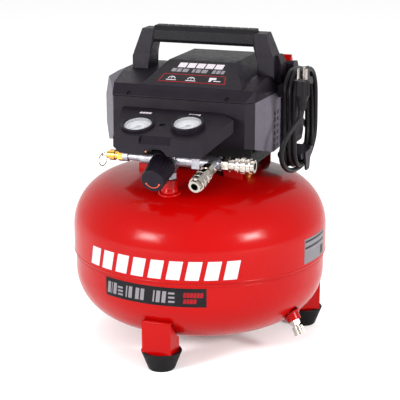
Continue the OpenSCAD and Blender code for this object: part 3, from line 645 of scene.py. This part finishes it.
def gauge_prints():
    marks = Build()
    for x, y, wide in ((-46, -113, 18), (30, -109, 18)):
        place = on_panel(x, y)
        for k in range(4):
            u = -wide / 2 + 4.8 * k
            marks.add(*slab(bar(u, -2.2, u + 3.9, 2.2, 0.5), place, -0.3, 0.3))
    marks.piece("gauge_name_bars", PRINT_WHITE)
    dark, accent = Build(), Build()
    for x, y, proud in GAUGES:
        place = on_panel(x, y, proud - 7.2)
        dark.add(*slab(arc_band(13.6, 14.1, -45, 225, 36), place, MARK_SINK, DIAL_LIFT))
        for k in range(31):
            a = math.radians(-45 + 9 * k)
            long, half = (18.4, 0.4) if k % 5 == 0 else (16.4, 0.2)
            c, s = math.cos(a), math.sin(a)
            tick = [(14 * c - half * s, 14 * s + half * c), (14 * c + half * s, 14 * s - half * c),
                    (long * c + half * s, long * s - half * c), (long * c - half * s, long * s + half * c)]
            dark.add(*slab(tick, place, MARK_SINK, DIAL_LIFT))
        accent.add(*slab(arc_band(9.6, 11.2, -40, 20, 10), place, MARK_SINK, DIAL_LIFT))
        for u, v, w in ((-3, -9.5, 6), (-2, -12, 4)):
            dark.add(*slab(bar(u, v, u + w, v + 1.1), place, MARK_SINK, DIAL_LIFT))
    dark.piece("dial_ticks", PRINT_GREY)
    accent.piece("dial_red_arcs", PRINT_RED)


def knob_print():
    mark = Build()
    mark.add(*slab(arc_band(10.2, 11.4, 205, 335, 26), on_knob, -0.4, 0.3))
    for a in (205, 335):
        c, s = math.cos(math.radians(a)), math.sin(math.radians(a))
        mark.add(*slab(disc(10.8 * c, 10.8 * s, 1.5, 14), on_knob, -0.4, 0.4))
    mark.piece("knob_arc_mark", PRINT_SALMON, "knob")


# ---------- welds ----------
def welds():
    bead = Build()
    bead.add(*ring_tube(upright(0, 0, SEAM_Z - 0.6), 199.3, 1.7, 160, 10))
    bead.add(*ring_tube(upright(0, 0, 139.5), 197.6, 0.7, 160, 8))
    dome_lean = math.radians(9.7)
    bead.add(*ring_tube(upright(0, OUTLET_Y, 264.8, dome_lean, math.radians(-90)), 14.6, 2.8))
    bead.add(*ring_tube(upright(*DRAIN_AT, math.pi / 2 + DRAIN_SPOT, DRAIN_ANGLE), 12.2, 2.0))
    for angle in LEG_ANGLES:
        bead.add(*leg_bead(math.radians(angle)))
    bead.piece("tank_weld_beads", MATERIALS["tank_paint"], smooth=True)


def leg_bead(angle, steps=16, sides=12):
    """The rounded weld that closes the top of a leg bracket against the tank."""
    c, s = math.cos(angle), math.sin(angle)
    rings = []
    for k in range(steps + 1):
        t = 2 * k / steps - 1
        shrink = math.sqrt(max(0.02, 1 - abs(t) ** 8))
        ring = []
        for j in range(sides):
            b = 2 * math.pi * j / sides
            r, z = 191.4 + 5.2 * shrink * math.cos(b), 79.4 + 2.2 * shrink * math.sin(b)
            along = 24.2 * t
            ring.append((r * c * MM - along * s * MM, r * s * MM + along * c * MM, z * MM))
        rings.append(ring)
    return loft(rings)


# ---------- power cord ----------
CORD_D = 8 * MM
# Middle line of the cord's free ends, in millimetres: from the wall to the winding, and on to the plug.
LEAD = [[95, 130, 345], [95, 138, 345], [97, 149, 343], [104, 159, 338], [115, 164, 330],
        [127, 161, 320], [136, 151, 311], [140, 137, 304], [141, 121, 299], [141, 105, 295]]
TAIL = [[157, 112, 322], [156, 104, 302], [154, 88, 286], [153, 70, 279], [152, 45, 276],
        [150, 20, 276], [149, -4, 280], [148, -26, 288], [147, -43, 300], [147, -52, 315],
        [150, -54, 330], [155, -49, 343], [161, -41, 354], [167, -32, 364], [171, -27, 372],
        [171, -26, 380]]


def relief_rings():
    """The ribbed sleeves that keep the cord from kinking at the plug and at the rear wall."""
    ribs = Build()
    plug_x, plug_y, plug_z = TAIL[-1]
    exit_x, exit_y, exit_z = LEAD[0]
    for k in range(4):
        at_plug = upright(plug_x, plug_y, plug_z + 2.5 + 3.4 * k)
        at_wall = upright(exit_x, exit_y + 1.5 + 2.6 * k, exit_z - 0.12 * k, math.pi / 2, math.pi / 2)
        ribs.add(*ring_tube(at_plug, 5.6 + 0.45 * k, 1.0, 24, 8))
        ribs.add(*ring_tube(at_wall, 5.4 - 0.4 * k, 0.9, 24, 8))
    return ribs.piece("cord_relief_rings", MATERIALS["cord_jacket"], smooth=True)


def make_cord():
    curve = bpy.data.curves.new("power_cord", "CURVE")
    curve.dimensions = "3D"
    points = [Vector(p) * MM for p in LEAD + hank_route() + TAIL]
    spline = curve.splines.new("NURBS")
    spline.points.add(len(points) - 1)
    for point, place in zip(spline.points, points):
        point.co = (*place, 1)
    spline.order_u = 3
    spline.use_endpoint_u = True
    curve.resolution_u = 4
    curve.bevel_depth = CORD_D / 2
    curve.bevel_resolution = 3
    cord = bpy.data.objects.new("power_cord", curve)
    bpy.context.collection.objects.link(cord)
    curve.materials.append(MATERIALS["cord_jacket"])
    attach(cord, "frame")
    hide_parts("cord_ends", "cord_winding")
    [v * MM for v in LEAD[0]]
    relief_rings()


# Corner circles of the winding's middle line, as (Y, Z, radius), in the order that the cord passes them.
HANK_CORNERS = [(20, 318, 33.5), (22, 396, 35.5), (60, 380, 48.5), (60, 334, 48.5)]
TURNS = 3
STRAND_X = 141
STEP_X = 8
# Shares of a turn: where the cord starts to step out to the next layer, how long that takes, and
# where the last turn ends.
STEP_FROM, STEP_OVER, LAST_END = 0.55, 0.4, 0.72
ARC_STEP = 14


def hank_outline():
    """The middle line of one turn: arcs round the four corners, joined by straight stretches."""
    outline = []
    count = len(HANK_CORNERS)
    bends = []
    for i in range(count):
        a, b = HANK_CORNERS[i], HANK_CORNERS[(i + 1) % count]
        dy, dz = b[0] - a[0], b[1] - a[1]
        gap = math.hypot(dy, dz)
        tilt = math.asin((a[2] - b[2]) / gap)
        # Direction from each centre to the tangent point on the outer side.
        bends.append(math.atan2(dz, dy) + math.pi / 2 - tilt)
    for i in range(count):
        start, stop = bends[i - 1], bends[i]
        while stop > start:
            stop -= 2 * math.pi
        y, z, r = HANK_CORNERS[i]
        steps = max(2, round((start - stop) * r / ARC_STEP))
        for k in range(steps + 1):
            angle = start + (stop - start) * k / steps
            outline.append((y + r * math.cos(angle), z + r * math.sin(angle)))
    return outline


def hank_route():
    route = []
    outline = hank_outline()
    for turn in range(TURNS):
        for k, (y, z) in enumerate(outline):
            share = k / len(outline)
            drift = min(1.0, max(0.0, (share - STEP_FROM) / STEP_OVER))
            step = turn + (drift if turn < TURNS - 1 else 0.0)
            if turn == TURNS - 1 and share > LAST_END:
                break
            route.append([STRAND_X + STEP_X * step, y, z])
    return route


# ---------- floor ----------
def make_floor():
    mesh = bpy.data.meshes.new("floor")
    mesh.from_pydata([(-6, -6, 0), (6, -6, 0), (6, 6, 0), (-6, 6, 0)], [], [(0, 1, 2, 3)])
    floor = bpy.data.objects.new("floor", mesh)
    bpy.context.collection.objects.link(floor)
    white = Surface("floor_white", (0.93, 0.93, 0.93), 0.8).set("Specular IOR Level", 0.0)
    mesh.materials.append(white.material)


make_camera()
make_cord()
paint_nodes()
make_lights()
tank_shells()
tank_prints()
hood_prints()
gauge_prints()
knob_print()
welds()
soften_edges()
make_floor()
